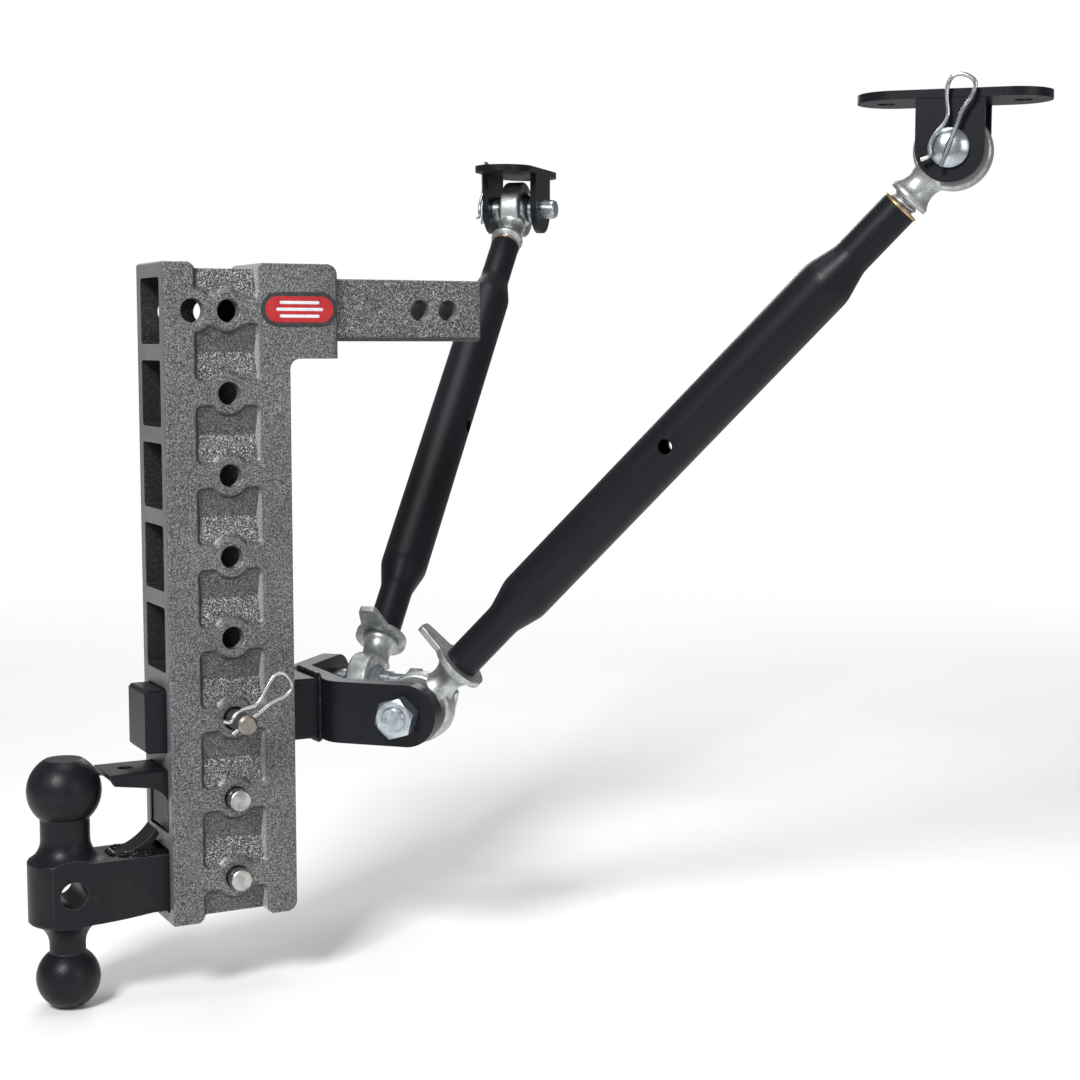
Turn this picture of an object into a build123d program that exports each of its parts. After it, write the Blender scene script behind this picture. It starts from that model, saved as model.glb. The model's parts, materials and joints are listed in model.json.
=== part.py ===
"""Adjustable ladder drop hitch with a dual ball mount and a two-arm stabiliser kit.

Millimetres, +X towards the towing vehicle, +Y to the vehicle's left, +Z up.
The origin is the centre of the rear pin bore in the receiver shank.
"""
import os
from math import cos, pi, radians, sin, sqrt, tan

from build123d import *

os.makedirs("parts", exist_ok=True)

# ---- driving dimensions -------------------------------------------------
# Cutters run this far past the faces that they cut, and are this wide.
overcut = 1.0
cutter_width = 100.0

# Ladder frame
frame_width = 73.0
frame_depth = 104.0
frame_height = 528.8
rear_x = -223.1
base_z = -492.2
row_count = 8
row_pitch = 65.2
lowest_row_rise = 34.3
row_x = rear_x + 53.0
row_hole_d = 18.2
window_width = 51.6
window_height = 52.4
window_corner_r = 3.0
side_hole_x = rear_x + 23.7
side_hole_d = 19.0
arm_reach = 145.6
arm_drop = 76.0
saddle_depth = 5.0
saddle_start = 22.0
saddle_length = 60.0
saddle_ramp = 5.0
saddle_lead = 2.0
frame_corner_r = 8.5
top_edge_r = 3.0
rear_edge_chamfer = 1.2
hole_rim_chamfer = 0.8
top_window_wall = 12.0

# Cheek pockets
pocket_width = 58.0
pocket_height = 50.0
pocket_start = 23.5
pocket_draft = 6.0
pocket_crease_depth = 6.4
pocket_edge_depth = 3.6
boss_r = 14.3
side_boss_r = 15.5
pocket_corner_r = 7.5
floor_margin = 0.6
crease_half_height = 30.0

# Receiver shank
shank_size = 50.8
shank_end_x = 56.5
shank_pin_d = 17.5
front_pin_x = 25.7
shank_corner_r = 4.0
shank_end_chamfer = 1.5

# Dual ball mount
ball_x = rear_x - 77.0
upper_ball_d = 58.74
lower_ball_d = 50.8
upper_ball_rise = 112.2
lower_ball_rise = -39.3
mount_width = 50.8
hub_r = 30.2
hub_low = 7.0
hub_high = 57.4
tongue_low = 10.8
tongue_high = 57.0
tongue_reach = 78.0
mount_bore_d = 21.5
mount_bore_rise = 32.6

# Lock pins
lock_pin_d = 17.5
lock_pin_stickout = 13.0
pin_bore_d = 17.66

# Stabiliser stub and bracket
stub_row = 6
stub_back = 70.0
stub_front = 78.0
bar_thickness = 16.0
bar_half_span = 45.0
ear_length = 92.0
ear_hole_at = 62.0
stub_pin_d = 15.9
stub_pin_half = 70.0

# Stabiliser arms
arm_rise = 46.0
eye_distance = 615.0
ball_r = 21.0
ball_half = 16.0
seat_gap = 0.3
ring_r = 29.0
ring_half = 10.0
bolt_r = 10.0
ball_offset = 28.0
head_offset = 40.0
tube_r = 21.2
tube_neck_r = 14.7
tube_length = 505.0
tube_wall = 5.0
neck_length = 53.0
shoulder_length = 24.0
stem_r = 11.0
stem_bore_r = 11.08
stem_reach = 172.0
shoulder_at = 48.0
jam_thickness = 5.0
wire_r = 1.6

# ---- derived places -----------------------------------------------------
half_width = frame_width / 2
front_x = rear_x + frame_depth
arm_x = rear_x + arm_reach
top_z = base_z + frame_height
diagonal = 1 / sqrt(2)


def row_z(row):
    """Height of a row of adjustment holes; row 1 is the top one."""
    return base_z + lowest_row_rise + (row_count - row) * row_pitch


def save(piece, name):
    """Label a finished piece and write its STEP file."""
    piece.part.label = name
    export_step(piece.part, f"parts/{name}.step")


def save_pair(piece, name):
    """Write a right-hand piece and its mirror image across the centre plane."""
    piece.part.label = f"right_{name}"
    export_step(piece.part, f"parts/right_{name}.step")
    mirrored = piece.part.mirror(Plane.XZ)
    mirrored.label = f"left_{name}"
    export_step(mirrored, f"parts/left_{name}.step")


# ---- ladder frame -------------------------------------------------------
pocket_mid_x = rear_x + pocket_start + pocket_width / 2
saddle_rear = rear_x + saddle_start
saddle_front = saddle_rear + saddle_length


def pocket_section(mid_z, depth, inset):
    """One face of a pocket cutter: a rectangle relieved around the bosses."""
    with BuildSketch(Plane.XZ.offset(half_width - depth)) as section:
        with Locations((pocket_mid_x, mid_z)):
            RectangleRounded(pocket_width - 2 * inset, pocket_height - 2 * inset, pocket_corner_r - inset)
        with Locations((row_x, mid_z + row_pitch / 2), (row_x, mid_z - row_pitch / 2)):
            Circle(boss_r + inset, mode=Mode.SUBTRACT)
        if abs(mid_z - row_z(1)) < row_pitch:
            with Locations((side_hole_x, row_z(1))):
                Circle(side_boss_r + inset, mode=Mode.SUBTRACT)
    return section.sketch


def pocket_cutter(mid_z):
    """A drafted pocket in the right cheek with a shallow V floor."""
    outside = -half_width - 5 * overcut
    edge_floor = -half_width + pocket_edge_depth - floor_margin
    with BuildPart() as cutter:
        add(pocket_section(mid_z, -pocket_draft / 2, -pocket_draft / 4))
        add(pocket_section(mid_z, pocket_crease_depth + floor_margin, pocket_draft))
        loft(ruled=True)
        with BuildSketch(Plane.YZ.offset(rear_x)):
            with BuildLine():
                Polyline(
                    (outside, mid_z - crease_half_height),
                    (edge_floor, mid_z - crease_half_height),
                    (-half_width + pocket_crease_depth, mid_z),
                    (edge_floor, mid_z + crease_half_height),
                    (outside, mid_z + crease_half_height),
                    close=True,
                )
            make_face()
        extrude(amount=frame_depth, mode=Mode.INTERSECT)
    return cutter.part


with BuildPart() as ladder_frame:
    with BuildSketch(Plane.XZ):
        with BuildLine():
            Polyline(
                (rear_x, base_z),
                (front_x, base_z),
                (front_x, top_z - arm_drop),
                (arm_x, top_z - arm_drop),
                (arm_x, top_z),
                (rear_x, top_z),
                close=True,
            )
        make_face()
    extrude(amount=half_width, both=True)
    across = ladder_frame.edges().filter_by(Axis.Y)
    inner_corner = across.sort_by_distance((front_x, 0, top_z - arm_drop))[0]
    arm_corner = across.sort_by_distance((arm_x, 0, top_z))[0]
    foot_corner = across.sort_by_distance((front_x, 0, base_z))[0]
    fillet([inner_corner, arm_corner, foot_corner], radius=frame_corner_r)
    long_top = ladder_frame.faces().sort_by(Axis.Z)[-1].edges().filter_by(Axis.X)
    fillet(long_top, radius=top_edge_r)
    rear_uprights = ladder_frame.faces().sort_by(Axis.X)[0].edges().filter_by(Axis.Z)
    chamfer(rear_uprights, length=rear_edge_chamfer)
    for saddle_z, side in ((top_z, -1), (base_z, 1)):
        with BuildSketch(Plane.XZ):
            with BuildLine():
                Polyline(
                    (saddle_rear - saddle_lead, saddle_z - side * overcut),
                    (saddle_rear + saddle_ramp, saddle_z + side * saddle_depth),
                    (saddle_front - saddle_ramp, saddle_z + side * saddle_depth),
                    (saddle_front + saddle_lead, saddle_z - side * overcut),
                    close=True,
                )
            make_face()
        extrude(amount=frame_width, both=True, mode=Mode.SUBTRACT)
    for row in range(row_count + 1):
        pocket = pocket_cutter(row_z(row) - row_pitch / 2)
        add(pocket, mode=Mode.SUBTRACT)
        add(pocket.mirror(Plane.XZ), mode=Mode.SUBTRACT)
    with BuildSketch(Plane.YZ.offset(rear_x - overcut)):
        with Locations(*[(0, row_z(row)) for row in range(2, row_count + 1)]):
            RectangleRounded(window_width, window_height, window_corner_r)
    extrude(amount=frame_depth + 2 * frame_corner_r, mode=Mode.SUBTRACT)
    with BuildSketch(Plane.YZ.offset(rear_x - overcut)):
        with Locations((0, row_z(1))):
            RectangleRounded(window_width, window_height, window_corner_r)
    extrude(amount=frame_depth - top_window_wall + overcut, mode=Mode.SUBTRACT)
    with BuildSketch(Plane.XZ):
        with Locations(*[(row_x, row_z(row)) for row in range(1, row_count + 1)]):
            Circle(row_hole_d / 2)
        with Locations((side_hole_x, row_z(1))):
            Circle(side_hole_d / 2)
    extrude(amount=half_width, both=True, mode=Mode.SUBTRACT)
    rims = ladder_frame.faces().filter_by(Axis.Y).group_by(Axis.Y)
    outer_edges = rims[0].edges() + rims[-1].edges()
    outer_circles = outer_edges.filter_by(GeomType.CIRCLE)
    rim_spread = 4.0
    hole_rims = [edge for edge in outer_circles if abs(edge.length - pi * row_hole_d) < rim_spread]
    chamfer(hole_rims, length=hole_rim_chamfer)
save(ladder_frame, "ladder_frame")

# ---- receiver shank -----------------------------------------------------
with BuildPart() as receiver_shank:
    with BuildSketch(Plane.YZ.offset(arm_x)):
        RectangleRounded(shank_size, shank_size, shank_corner_r)
    extrude(amount=shank_end_x - arm_x)
    chamfer(receiver_shank.faces().sort_by(Axis.X)[-1].edges(), length=shank_end_chamfer)
    with BuildSketch(Plane.XZ):
        with Locations((0, 0), (front_pin_x, 0)):
            Circle(shank_pin_d / 2)
    extrude(amount=shank_size, both=True, mode=Mode.SUBTRACT)
save(receiver_shank, "receiver_shank")

# ---- dual ball mount ----------------------------------------------------
upper_neck_r = 19.5
lower_neck_r = 14.3
upper_flat_z = 25.3
lower_flat_z = 24.4
upper_neck_base = 73.5
lower_neck_base = -11.5
hub_rim = 1.5
lower_step = 1.2
upper_step = 1.0
flat_cutter = 40.0
ball_flat_cutter = 20.0
tongue_blend = 14.0
upper_ball_r = upper_ball_d / 2
lower_ball_r = lower_ball_d / 2
ball_axis = Axis((ball_x, 0, 0), (0, 0, 1))

with BuildPart() as dual_ball_mount:
    # Turned hub with both flared necks.
    with BuildSketch(Plane.XZ.shift_origin((ball_x, 0, base_z))):
        with BuildLine():
            l1 = Line((0, lower_ball_rise), (lower_neck_r, lower_ball_rise))
            l2 = Line(l1 @ 1, (lower_neck_r, lower_neck_base))
            a1 = TangentArc(l2 @ 1, (hub_r - lower_step, hub_low), tangent=(0, 1))
            l3 = Line(a1 @ 1, (hub_r, hub_low + hub_rim))
            l4 = Line(l3 @ 1, (hub_r, hub_high - hub_rim))
            l5 = Line(l4 @ 1, (hub_r - upper_step, hub_high))
            a2 = TangentArc((upper_neck_r, upper_neck_base), l5 @ 1, tangent=(0, -1))
            l6 = Line(a2 @ 0, (upper_neck_r, upper_ball_rise))
            l7 = Line(l6 @ 1, (0, upper_ball_rise))
            Line(l7 @ 1, (0, lower_ball_rise))
        make_face()
    revolve(axis=ball_axis)
    # Flat sides of the block.
    for side in (-1, 1):
        with BuildSketch(Plane.XY.offset(base_z + lower_neck_base)):
            with Locations((ball_x, side * (mount_width + flat_cutter) / 2)):
                Rectangle(cutter_width, flat_cutter)
        extrude(amount=upper_neck_base - lower_neck_base, mode=Mode.SUBTRACT)
    # Bar from the hub into the ladder's lowest window.
    with BuildSketch(Plane.XZ):
        with BuildLine():
            b1 = Line((ball_x, base_z + hub_low), (ball_x + tongue_blend, base_z + hub_low))
            b2 = TangentArc(b1 @ 1, (rear_x - tongue_blend, base_z + tongue_low), tangent=(1, 0.03))
            b3 = Line(b2 @ 1, (rear_x + tongue_reach, base_z + tongue_low))
            b4 = Line(b3 @ 1, (rear_x + tongue_reach, base_z + tongue_high))
            b5 = Line(b4 @ 1, (ball_x, base_z + tongue_high))
            Line(b5 @ 1, b1 @ 0)
        make_face()
    extrude(amount=mount_width / 2, both=True)
    with BuildSketch(Plane.XZ):
        with Locations((ball_x, base_z + mount_bore_rise)):
            Circle(mount_bore_d / 2)
        with Locations((row_x, row_z(row_count))):
            Circle(pin_bore_d / 2)
    extrude(amount=mount_width, both=True, mode=Mode.SUBTRACT)
    # The two tow balls with their flats.
    with BuildSketch(Plane.XZ.shift_origin((ball_x, 0, base_z + upper_ball_rise))):
        Circle(upper_ball_r)
        with Locations((-cutter_width / 2, 0)):
            Rectangle(cutter_width, 2 * cutter_width, mode=Mode.SUBTRACT)
        with Locations((0, upper_flat_z + ball_flat_cutter / 2)):
            Rectangle(cutter_width, ball_flat_cutter, mode=Mode.SUBTRACT)
    revolve(axis=ball_axis)
    with BuildSketch(Plane.XZ.shift_origin((ball_x, 0, base_z + lower_ball_rise))):
        Circle(lower_ball_r)
        with Locations((-cutter_width / 2, 0)):
            Rectangle(cutter_width, 2 * cutter_width, mode=Mode.SUBTRACT)
        with Locations((0, -lower_flat_z - ball_flat_cutter / 2)):
            Rectangle(cutter_width, ball_flat_cutter, mode=Mode.SUBTRACT)
    revolve(axis=ball_axis)
save(dual_ball_mount, "dual_ball_mount")

# ---- curved strap on top of the ball mount -------------------------------
strap_width = 25.0
strap_foot_x = rear_x - 40.0
strap_tip_x = rear_x - 6.5
strap_tip_rise = 76.0
strap_nose = 2.5
strap_nose_drop = 4.5
strap_heel = 8.5

with BuildPart() as curved_strap:
    with BuildSketch(Plane.XZ):
        with BuildLine():
            foot = (strap_foot_x, base_z + tongue_high)
            tip = (strap_tip_x, base_z + strap_tip_rise)
            s1 = TangentArc(foot, tip, tangent=(1, 0.1))
            s2 = Line(s1 @ 1, (strap_tip_x + strap_nose, base_z + strap_tip_rise - strap_nose_drop))
            s3 = Line(s2 @ 1, (strap_tip_x - strap_heel, base_z + tongue_high))
            Line(s3 @ 1, foot)
        make_face()
    extrude(amount=strap_width / 2, both=True)
save(curved_strap, "curved_strap")

# ---- upper bracket in the seventh window ---------------------------------
bracket_wall = 4.5
bracket_top = row_z(7) + window_height / 2 - 0.2
bracket_low = row_z(7) - window_height / 2 + 2.6
bracket_tip_x = rear_x - 46.5
bracket_back_x = rear_x + 76.0
tab_hole_x = rear_x - 27.5
tab_hole_d = 12.8
tab_lip = 9.0
tab_nose = 3.5
bracket_edge_r = 4.0
mid_lip = 13.0
mid_lip_at = 16.0
end_lip = 25.0
plate_setback = 0.5

with BuildPart() as upper_bracket:
    with BuildSketch(Plane.YZ.offset(bracket_tip_x)):
        with Locations((0, (bracket_top + bracket_low) / 2)):
            Rectangle(mount_width, bracket_top - bracket_low)
        with Locations((0, (bracket_top + bracket_low) / 2 - bracket_wall)):
            Rectangle(mount_width - 2 * bracket_wall, bracket_top - bracket_low, mode=Mode.SUBTRACT)
    extrude(amount=bracket_back_x - bracket_tip_x)
    top_edges = upper_bracket.edges().filter_by(Axis.X).group_by(Axis.Z)[-1]
    fillet(top_edges, radius=bracket_edge_r)
    # The tab's side flanges are shallow behind the frame and deepen towards it.
    with BuildSketch(Plane.XZ):
        with BuildLine():
            tab_end = bracket_tip_x - overcut
            c1 = Line((tab_end, bracket_low - overcut), (tab_end, bracket_top - 2 * overcut))
            c2 = Line(c1 @ 1, (bracket_tip_x + tab_nose, bracket_top - tab_lip))
            c3 = Line(c2 @ 1, (rear_x - mid_lip_at, bracket_top - mid_lip))
            c4 = TangentArc(c3 @ 1, (rear_x - plate_setback, bracket_top - end_lip), tangent=(1, -0.16))
            c5 = Line(c4 @ 1, (rear_x - plate_setback, bracket_low - overcut))
            Line(c5 @ 1, c1 @ 0)
        make_face()
    extrude(amount=mount_width, both=True, mode=Mode.SUBTRACT)
    with BuildSketch(Plane.XY.offset(bracket_top)):
        with Locations((tab_hole_x, 0)):
            Circle(tab_hole_d / 2)
    extrude(amount=-bracket_wall - overcut, mode=Mode.SUBTRACT)
    with BuildSketch(Plane.XZ):
        with Locations((row_x, row_z(7))):
            Circle(pin_bore_d / 2)
    extrude(amount=mount_width, both=True, mode=Mode.SUBTRACT)
save(upper_bracket, "upper_bracket")

with BuildPart() as bracket_end_plate:
    with BuildSketch(Plane.YZ.offset(rear_x + plate_setback)):
        with Locations((0, (bracket_top - bracket_wall + bracket_low) / 2)):
            Rectangle(mount_width - 2 * bracket_wall, bracket_top - bracket_wall - bracket_low)
    extrude(amount=bracket_wall)
save(bracket_end_plate, "bracket_end_plate")

# ---- lock pins in the two lowest rows ------------------------------------
pin_head_d = 26.0
pin_head_thickness = 8.0
pin_head_gap = 0.5
groove_back = 4.5
groove_width = 2.2
groove_depth = 1.1
pin_nose = 1.0
pin_head_chamfer = 1.5

for row, name in ((7, "upper_lock_pin"), (8, "lower_lock_pin")):
    pin_end = -half_width - lock_pin_stickout
    pin_head_end = half_width + pin_head_gap + pin_head_thickness
    with BuildPart() as lock_pin:
        with BuildSketch(Plane((row_x, 0, row_z(row)))):
            with BuildLine():
                Polyline(
                    (0, pin_end),
                    (lock_pin_d / 2 - pin_nose, pin_end),
                    (lock_pin_d / 2, pin_end + pin_nose),
                    (lock_pin_d / 2, pin_end + groove_back),
                    (lock_pin_d / 2 - groove_depth, pin_end + groove_back),
                    (lock_pin_d / 2 - groove_depth, pin_end + groove_back + groove_width),
                    (lock_pin_d / 2, pin_end + groove_back + groove_width),
                    (lock_pin_d / 2, half_width + pin_head_gap),
                    (pin_head_d / 2, half_width + pin_head_gap),
                    (pin_head_d / 2, pin_head_end - pin_head_chamfer),
                    (pin_head_d / 2 - pin_head_chamfer, pin_head_end),
                    (0, pin_head_end),
                    close=True,
                )
            make_face()
        revolve(axis=Axis((row_x, 0, row_z(row)), (0, 1, 0)))
    save(lock_pin, name)

# ---- stabiliser stub, bent bar, pin and clip ------------------------------
stub_z = row_z(stub_row)
stub_end_x = row_x - stub_back
bar_x = row_x + stub_front
stub_bore_d = 16.04
stub_corner_r = 3.0
stub_nose = 2.5
outer_bend_r = 24.0
inner_bend_r = 8.0
ear_hole_clearance = 0.3

with BuildPart() as stabiliser_stub:
    with BuildSketch(Plane.YZ.offset(stub_end_x)):
        with Locations((0, stub_z)):
            RectangleRounded(shank_size, shank_size, stub_corner_r)
    extrude(amount=bar_x - stub_end_x)
    chamfer(stabiliser_stub.faces().sort_by(Axis.X)[0].edges(), length=stub_nose)
    with BuildSketch(Plane.XZ):
        with Locations((row_x, stub_z)):
            Circle(stub_bore_d / 2)
    extrude(amount=shank_size, both=True, mode=Mode.SUBTRACT)
save(stabiliser_stub, "stabiliser_stub")

inner_corner_y = bar_half_span - bar_thickness * tan(radians(22.5))
ear_run = ear_length * diagonal
ear_step = bar_thickness * diagonal

with BuildPart() as bent_bar:
    with BuildSketch(Plane.XY.offset(stub_z - shank_size / 2)):
        with BuildLine():
            Polyline(
                (bar_x, 0),
                (bar_x, bar_half_span),
                (bar_x + ear_run, bar_half_span + ear_run),
                (bar_x + ear_run + ear_step, bar_half_span + ear_run - ear_step),
                (bar_x + bar_thickness, inner_corner_y),
                (bar_x + bar_thickness, 0),
                close=True,
            )
        make_face()
        mirror(about=Plane.XZ)
    extrude(amount=shank_size)
    uprights = bent_bar.edges().filter_by(Axis.Z)
    outer_bends = [
        uprights.sort_by_distance((bar_x, side * bar_half_span, stub_z))[0] for side in (-1, 1)
    ]
    fillet(outer_bends, radius=outer_bend_r)
    uprights = bent_bar.edges().filter_by(Axis.Z)
    inner_bend_x = bar_x + bar_thickness
    inner_bends = [
        uprights.sort_by_distance((inner_bend_x, side * inner_corner_y, stub_z))[0] for side in (-1, 1)
    ]
    fillet(inner_bends, radius=inner_bend_r)
    for side in (-1, 1):
        ear_normal = Vector(diagonal, -side * diagonal, 0)
        ear_dir = Vector(diagonal, side * diagonal, 0)
        bend = Vector(bar_x, side * bar_half_span, stub_z)
        round_centre = bend + ear_dir * (ear_length - shank_size / 2) - ear_normal * overcut
        with BuildSketch(Plane(origin=round_centre, x_dir=ear_dir, z_dir=ear_normal)):
            with Locations((shank_size / 2, 0)):
                Rectangle(shank_size, shank_size * 1.5)
            Circle(shank_size / 2, mode=Mode.SUBTRACT)
        extrude(amount=bar_thickness + 2 * overcut, mode=Mode.SUBTRACT)
        hole_centre = bend + ear_dir * ear_hole_at - ear_normal * overcut
        with BuildSketch(Plane(origin=hole_centre, x_dir=(0, 0, 1), z_dir=ear_normal)):
            Circle(bolt_r + ear_hole_clearance)
        extrude(amount=bar_thickness + 2 * overcut, mode=Mode.SUBTRACT)
save(bent_bar, "bent_bar")

stub_pin_head_d = 21.0
clip_inset = 8.0
stub_pin_nose = 2.0
collar_start = stub_pin_half - 12.0
collar_end = stub_pin_half - 9.0
head_start = stub_pin_half - 6.0
head_slope = 1.0
wire_clearance = 0.3
clip_hole_half = 15.0

with BuildPart() as stub_pin:
    with BuildSketch(Plane((row_x, 0, stub_z))):
        with BuildLine():
            Polyline(
                (0, -stub_pin_half),
                (stub_pin_d / 2 - stub_pin_nose, -stub_pin_half),
                (stub_pin_d / 2, -stub_pin_half + stub_pin_nose),
                (stub_pin_d / 2, collar_start),
                (stub_pin_head_d / 2, collar_start),
                (stub_pin_head_d / 2, collar_end),
                (stub_pin_d / 2, collar_end),
                (stub_pin_d / 2, head_start),
                (stub_pin_head_d / 2, head_start + head_slope),
                (stub_pin_head_d / 2, stub_pin_half - head_slope),
                (stub_pin_head_d / 2 - head_slope, stub_pin_half),
                (0, stub_pin_half),
                close=True,
            )
        make_face()
    revolve(axis=Axis((row_x, 0, stub_z), (0, 1, 0)))
    clip_angle = 35.0
    clip_dir = Vector(cos(radians(clip_angle)), 0, sin(radians(clip_angle)))
    clip_centre = Vector(row_x, -stub_pin_half + clip_inset, stub_z)
    clip_hole = Plane(origin=clip_centre - clip_dir * clip_hole_half, x_dir=(0, 1, 0), z_dir=clip_dir)
    with BuildSketch(clip_hole):
        Circle(wire_r + wire_clearance)
    extrude(amount=2 * clip_hole_half, mode=Mode.SUBTRACT)
save(stub_pin, "stub_pin")


clip_tail = 5.0
clip_eye_start = 18.0
clip_eye_height = 17.0
clip_reach = 41.0
clip_bend_r = 5.5
clip_play = 0.4


def hairpin(plane, pin_r):
    """A hairpin clip: its straight leg runs along the plane's X through the pin."""
    ride = pin_r + wire_r + clip_play
    with BuildPart() as clip:
        with BuildLine(plane) as path:
            FilletPolyline(
                (-pin_r - clip_tail, 0),
                (pin_r + clip_eye_start, 0),
                (pin_r + clip_reach - 1, -4),
                (pin_r + clip_reach, clip_eye_height),
                (pin_r + clip_eye_start, ride + 3),
                (pin_r * 0.6, ride),
                (-pin_r * 0.8, ride),
                (-pin_r - clip_tail, ride + 4),
                radius=clip_bend_r,
            )
        with BuildSketch(Plane(origin=path.line @ 0, z_dir=path.line % 0)):
            Circle(wire_r)
        sweep(path=path.line)
    return clip


stub_pin_clip = hairpin(Plane(origin=clip_centre, x_dir=clip_dir, z_dir=(0, -1, 0)), stub_pin_d / 2)
save(stub_pin_clip, "stub_pin_clip")

# ---- stabiliser arms, drawn on the right (-Y) side ------------------------
inward = Vector(diagonal, diagonal, 0)
outward_run = Vector(diagonal, -diagonal, 0)
hole_face = Vector(bar_x + ear_hole_at * diagonal, -bar_half_span - ear_hole_at * diagonal, stub_z)
lower_eye = hole_face + inward * (bar_thickness + ball_offset)
arm_dir = outward_run * cos(radians(arm_rise)) + Vector(0, 0, sin(radians(arm_rise)))
upper_eye = lower_eye + arm_dir * eye_distance

lower_plane = Plane(origin=lower_eye, x_dir=arm_dir, z_dir=inward)
upper_plane = Plane(origin=upper_eye, x_dir=-arm_dir, z_dir=inward)
clevis_plane = Plane(origin=upper_eye, x_dir=outward_run, z_dir=inward)
arm_axis = Axis(lower_eye, arm_dir)
bolt_af = 30.0
spacer_r = 13.5
collar_height = 8.0
sleeve_r = 11.8
face_gap = 0.3
bolt_fit = 0.05
ball_fit = 0.07
ring_edge_r = 3.0
flare_r = 16.5
stem_chamfer = 1.5


def pivot_ball(plane):
    """The bored ball that a ball end swivels on."""
    with BuildPart() as ball:
        with BuildSketch(Plane(origin=plane.origin, x_dir=plane.x_dir, z_dir=plane.y_dir)):
            with BuildLine():
                rim_r = sqrt(ball_r ** 2 - ball_half ** 2)
                ThreePointArc((rim_r, -ball_half), (ball_r, 0), (rim_r, ball_half))
                Polyline(
                    (rim_r, ball_half),
                    (bolt_r + ball_fit, ball_half),
                    (bolt_r + ball_fit, -ball_half),
                    (rim_r, -ball_half),
                )
            make_face()
        revolve(axis=Axis(plane.origin, plane.z_dir))
    return ball


def ball_end(plane):
    """A forged ring with a flared neck and a threaded stem along the plane's X."""
    with BuildPart() as end:
        with BuildSketch(plane.offset(-ring_half)):
            Circle(ring_r)
        extrude(amount=2 * ring_half)
        fillet(end.edges().filter_by(GeomType.CIRCLE), radius=ring_edge_r)
        with BuildSketch(plane):
            with BuildLine():
                n1 = Line((0, 0), (0, 9.0))
                n2 = Line(n1 @ 1, (24.0, 15.0))
                n3 = Spline(n2 @ 1, (34.0, 12.2), (44.5, flare_r), tangents=((1, -0.7), (1, 0.9)))
                n4 = Line(n3 @ 1, (shoulder_at, flare_r))
                n5 = Line(n4 @ 1, (shoulder_at, stem_r))
                n6 = Line(n5 @ 1, (stem_reach - stem_chamfer, stem_r))
                n7 = Line(n6 @ 1, (stem_reach, stem_r - stem_chamfer))
                n8 = Line(n7 @ 1, (stem_reach, 0))
                Line(n8 @ 1, n1 @ 0)
            make_face()
        revolve(axis=Axis(plane.origin, plane.x_dir))
        with BuildSketch(Plane(origin=plane.origin, x_dir=plane.x_dir, z_dir=plane.y_dir)):
            Circle(ball_r + seat_gap)
            with Locations((-cutter_width / 2, 0)):
                Rectangle(cutter_width, 2 * cutter_width, mode=Mode.SUBTRACT)
        revolve(axis=Axis(plane.origin, plane.z_dir), mode=Mode.SUBTRACT)
    return end


# Pivot bolt, nut and spacers through the bent bar's ear.
ear_far = -ball_offset - bar_thickness
nut_thickness = 16.0
head_thickness = 12.5
thread_stickout = 4.0

with BuildPart() as pivot_bolt:
    with BuildSketch(lower_plane.offset(head_offset)):
        RegularPolygon(bolt_af / 2, 6, major_radius=False)
    extrude(amount=head_thickness)
    with BuildSketch(lower_plane.offset(head_offset)):
        Circle(bolt_r)
    extrude(amount=ear_far - nut_thickness - thread_stickout - head_offset)
save_pair(pivot_bolt, "pivot_bolt")

with BuildPart() as pivot_nut:
    with BuildSketch(lower_plane.offset(ear_far)):
        RegularPolygon(bolt_af / 2, 6, major_radius=False)
        Circle(bolt_r + bolt_fit, mode=Mode.SUBTRACT)
    extrude(amount=-nut_thickness)
save_pair(pivot_nut, "pivot_nut")

with BuildPart() as ear_spacer:
    with BuildSketch(lower_plane.offset(-ball_offset)):
        Circle(spacer_r)
        Circle(bolt_r + bolt_fit, mode=Mode.SUBTRACT)
    extrude(amount=ball_offset - ball_half - face_gap)
save_pair(ear_spacer, "ear_spacer")

collar_top = ball_half + face_gap + collar_height
with BuildPart() as head_spacer:
    with BuildSketch(lower_plane.offset(ball_half + face_gap)):
        Circle(spacer_r)
    extrude(amount=collar_height)
    with BuildSketch(lower_plane.offset(collar_top)):
        Circle(sleeve_r)
    extrude(amount=head_offset - collar_top)
    with BuildSketch(lower_plane.offset(ball_half)):
        Circle(bolt_r + bolt_fit)
    extrude(amount=head_offset, mode=Mode.SUBTRACT)
save_pair(head_spacer, "head_spacer")

lower_ball = pivot_ball(lower_plane)
save_pair(lower_ball, "lower_ball")
lower_ball_end = ball_end(lower_plane)
save_pair(lower_ball_end, "lower_ball_end")

# Lock flange between the lower ball end and the tube.
washer_gap = 0.4
jam_start = shoulder_at + washer_gap
jam_end = jam_start + jam_thickness
jam_r = 23.0
lug_reach = 45.0
lug_root_at = 15.0
lug_root_half = 13.0
lug_tip_half = 7.5
lug_corner_r = 4.0
jam_plane = Plane(origin=lower_eye + arm_dir * jam_start, x_dir=inward, z_dir=arm_dir)

with BuildPart() as lock_flange:
    with BuildSketch(jam_plane):
        Circle(jam_r)
        with BuildLine():
            Polyline(
                (-lug_root_half, lug_root_at),
                (lug_root_half, lug_root_at),
                (lug_tip_half, lug_reach),
                (-lug_tip_half, lug_reach),
                close=True,
            )
        make_face()
        Circle(stem_bore_r, mode=Mode.SUBTRACT)
    extrude(amount=jam_thickness)
    lug_corners = lock_flange.edges().filter_by(Axis((0, 0, 0), arm_dir)).group_by(
        lambda edge: round((edge.center() - jam_plane.origin).length, 1)
    )[-1]
    fillet(lug_corners, radius=lug_corner_r)
save_pair(lock_flange, "lock_flange")

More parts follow.
